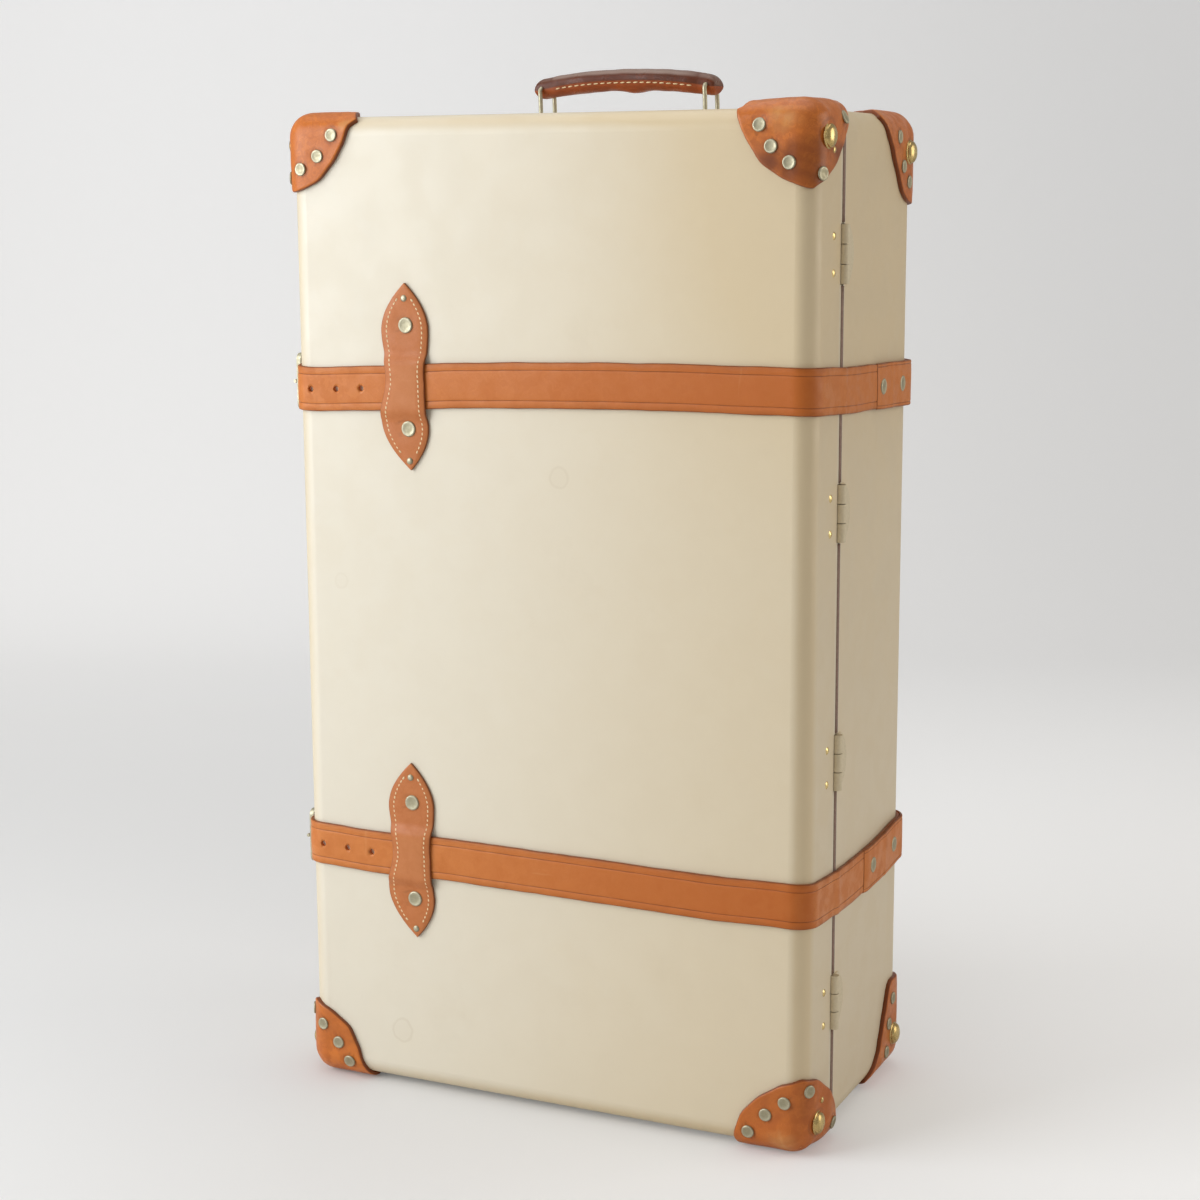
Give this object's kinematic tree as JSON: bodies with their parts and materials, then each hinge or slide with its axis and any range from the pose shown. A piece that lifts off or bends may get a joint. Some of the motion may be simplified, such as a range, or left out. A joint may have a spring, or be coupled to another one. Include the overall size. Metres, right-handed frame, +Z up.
{
  "type": "suitcase",
  "caption": "Hard fibreboard suitcase with leather corners, buckled leather straps, a hinged lid, locks, carry handles and small wheels at its lower rear edge.",
  "frame": {"origin": "on the floor, under the middle of the closed case standing on its lower end", "axes": "+Z up towards the end handle, -Y out of the lid face, +X out of the hinge side"},
  "size_m": [0.473, 0.2368, 0.8025],
  "materials": {
    "fibreboard": "satin",
    "lining": "matte",
    "lip_board": "matte",
    "corner_leather": "satin",
    "strap_leather": "satin",
    "dark_leather": "satin",
    "nickel": "satin",
    "brass": "satin",
    "wheel": "matte"
  },
  "bodies": {
    "base": {"base_shell": "fibreboard", "base_lip": "lip_board", "base_lining": "lining", "base_corner_hinge_top": "corner_leather", "base_corner_hinge_bottom": "corner_leather", "base_corner_lock_top": "corner_leather", "base_corner_lock_bottom": "corner_leather", "base_corner_rivets": "nickel", "base_studs": "brass", "strap_upper_back": "strap_leather", "strap_lower_back": "strap_leather", "back_tab_upper": "dark_leather", "back_tab_lower": "dark_leather", "strap_upper_heads": "nickel", "strap_lower_heads": "nickel", "strap_keepers": "dark_leather", "end_handle_grip": "dark_leather", "end_handle_loops": "nickel", "side_handle_grip": "dark_leather", "side_handle_loops": "nickel", "clench_plates": "nickel", "hinge_base_leaves": "nickel", "hinge_pins": "nickel", "lock_case_upper": "nickel", "lock_case_lower": "nickel", "wheel_housing_left": "nickel", "wheel_housing_right": "nickel", "wheel_axles": "nickel"},
    "lid": {"lid_shell": "fibreboard", "lid_lining": "lining", "lid_corner_hinge_top": "corner_leather", "lid_corner_hinge_bottom": "corner_leather", "lid_corner_lock_top": "corner_leather", "lid_corner_lock_bottom": "corner_leather", "lid_corner_rivets": "nickel", "lid_studs": "brass", "strap_upper_front": "strap_leather", "strap_lower_front": "strap_leather", "strap_upper_flex": "strap_leather", "strap_lower_flex": "strap_leather", "strap_upper_tongue": "strap_leather", "strap_lower_tongue": "strap_leather", "tab_upper": "dark_leather", "tab_lower": "dark_leather", "tab_rivets": "nickel", "hinge_lid_leaves": "nickel", "hinge_lid_rivets": "brass", "hasp_plates": "nickel", "hasp_pins": "nickel"},
    "hasp_upper": {"hasp_upper": "nickel"},
    "hasp_lower": {"hasp_lower": "nickel"},
    "lock_slide_upper": {"lock_slide_upper": "brass"},
    "lock_slide_lower": {"lock_slide_lower": "brass"},
    "buckle_upper": {"buckle_upper": "nickel"},
    "buckle_lower": {"buckle_lower": "nickel"},
    "prong_upper": {"prong_upper": "nickel"},
    "prong_lower": {"prong_lower": "nickel"},
    "wheel_left": {"wheel_left": "wheel"},
    "wheel_right": {"wheel_right": "wheel"}
  },
  "joints": [
    {"name": "lid_hinge", "type": "hinge", "parent": "base", "child": "lid", "pos_m": [0.214, -0.053, 0.384], "axis": [0, 0, 1], "range_deg": [0, 100], "deforming": ["strap_upper_flex", "strap_lower_flex", "strap_upper_tongue", "strap_lower_tongue"]},
    {"name": "hasp_upper_hinge", "type": "hinge", "parent": "lid", "child": "hasp_upper", "pos_m": [-0.2189, -0.062, 0.51], "axis": [0, 0, 1], "range_deg": [0, 110]},
    {"name": "lock_upper_slide", "type": "slide", "parent": "base", "child": "lock_slide_upper", "axis": [0, 0, 1], "range_m": [0, 0.008]},
    {"name": "buckle_upper_hinge", "type": "hinge", "parent": "base", "child": "buckle_upper", "pos_m": [-0.21688, -0.0685, 0.563], "axis": [0, 0, -1], "range_deg": [0, 60]},
    {"name": "prong_upper_hinge", "type": "hinge", "parent": "buckle_upper", "child": "prong_upper", "pos_m": [-0.21688, -0.0685, 0.563], "axis": [0, 0, -1], "range_deg": [0, 100]},
    {"name": "hasp_lower_hinge", "type": "hinge", "parent": "lid", "child": "hasp_lower", "pos_m": [-0.2189, -0.062, 0.258], "axis": [0, 0, 1], "range_deg": [0, 110]},
    {"name": "lock_lower_slide", "type": "slide", "parent": "base", "child": "lock_slide_lower", "axis": [0, 0, 1], "range_m": [0, 0.008]},
    {"name": "buckle_lower_hinge", "type": "hinge", "parent": "base", "child": "buckle_lower", "pos_m": [-0.21688, -0.0685, 0.195], "axis": [0, 0, -1], "range_deg": [0, 60]},
    {"name": "prong_lower_hinge", "type": "hinge", "parent": "buckle_lower", "child": "prong_lower", "pos_m": [-0.21688, -0.0685, 0.195], "axis": [0, 0, -1], "range_deg": [0, 100]},
    {"name": "wheel_left_spin", "type": "hinge", "parent": "base", "child": "wheel_left", "pos_m": [-0.12, 0.0965, 0.025], "axis": [1, 0, 0], "continuous": true},
    {"name": "wheel_right_spin", "type": "hinge", "parent": "base", "child": "wheel_right", "pos_m": [0.12, 0.0965, 0.025], "axis": [1, 0, 0], "continuous": true}
  ]
}
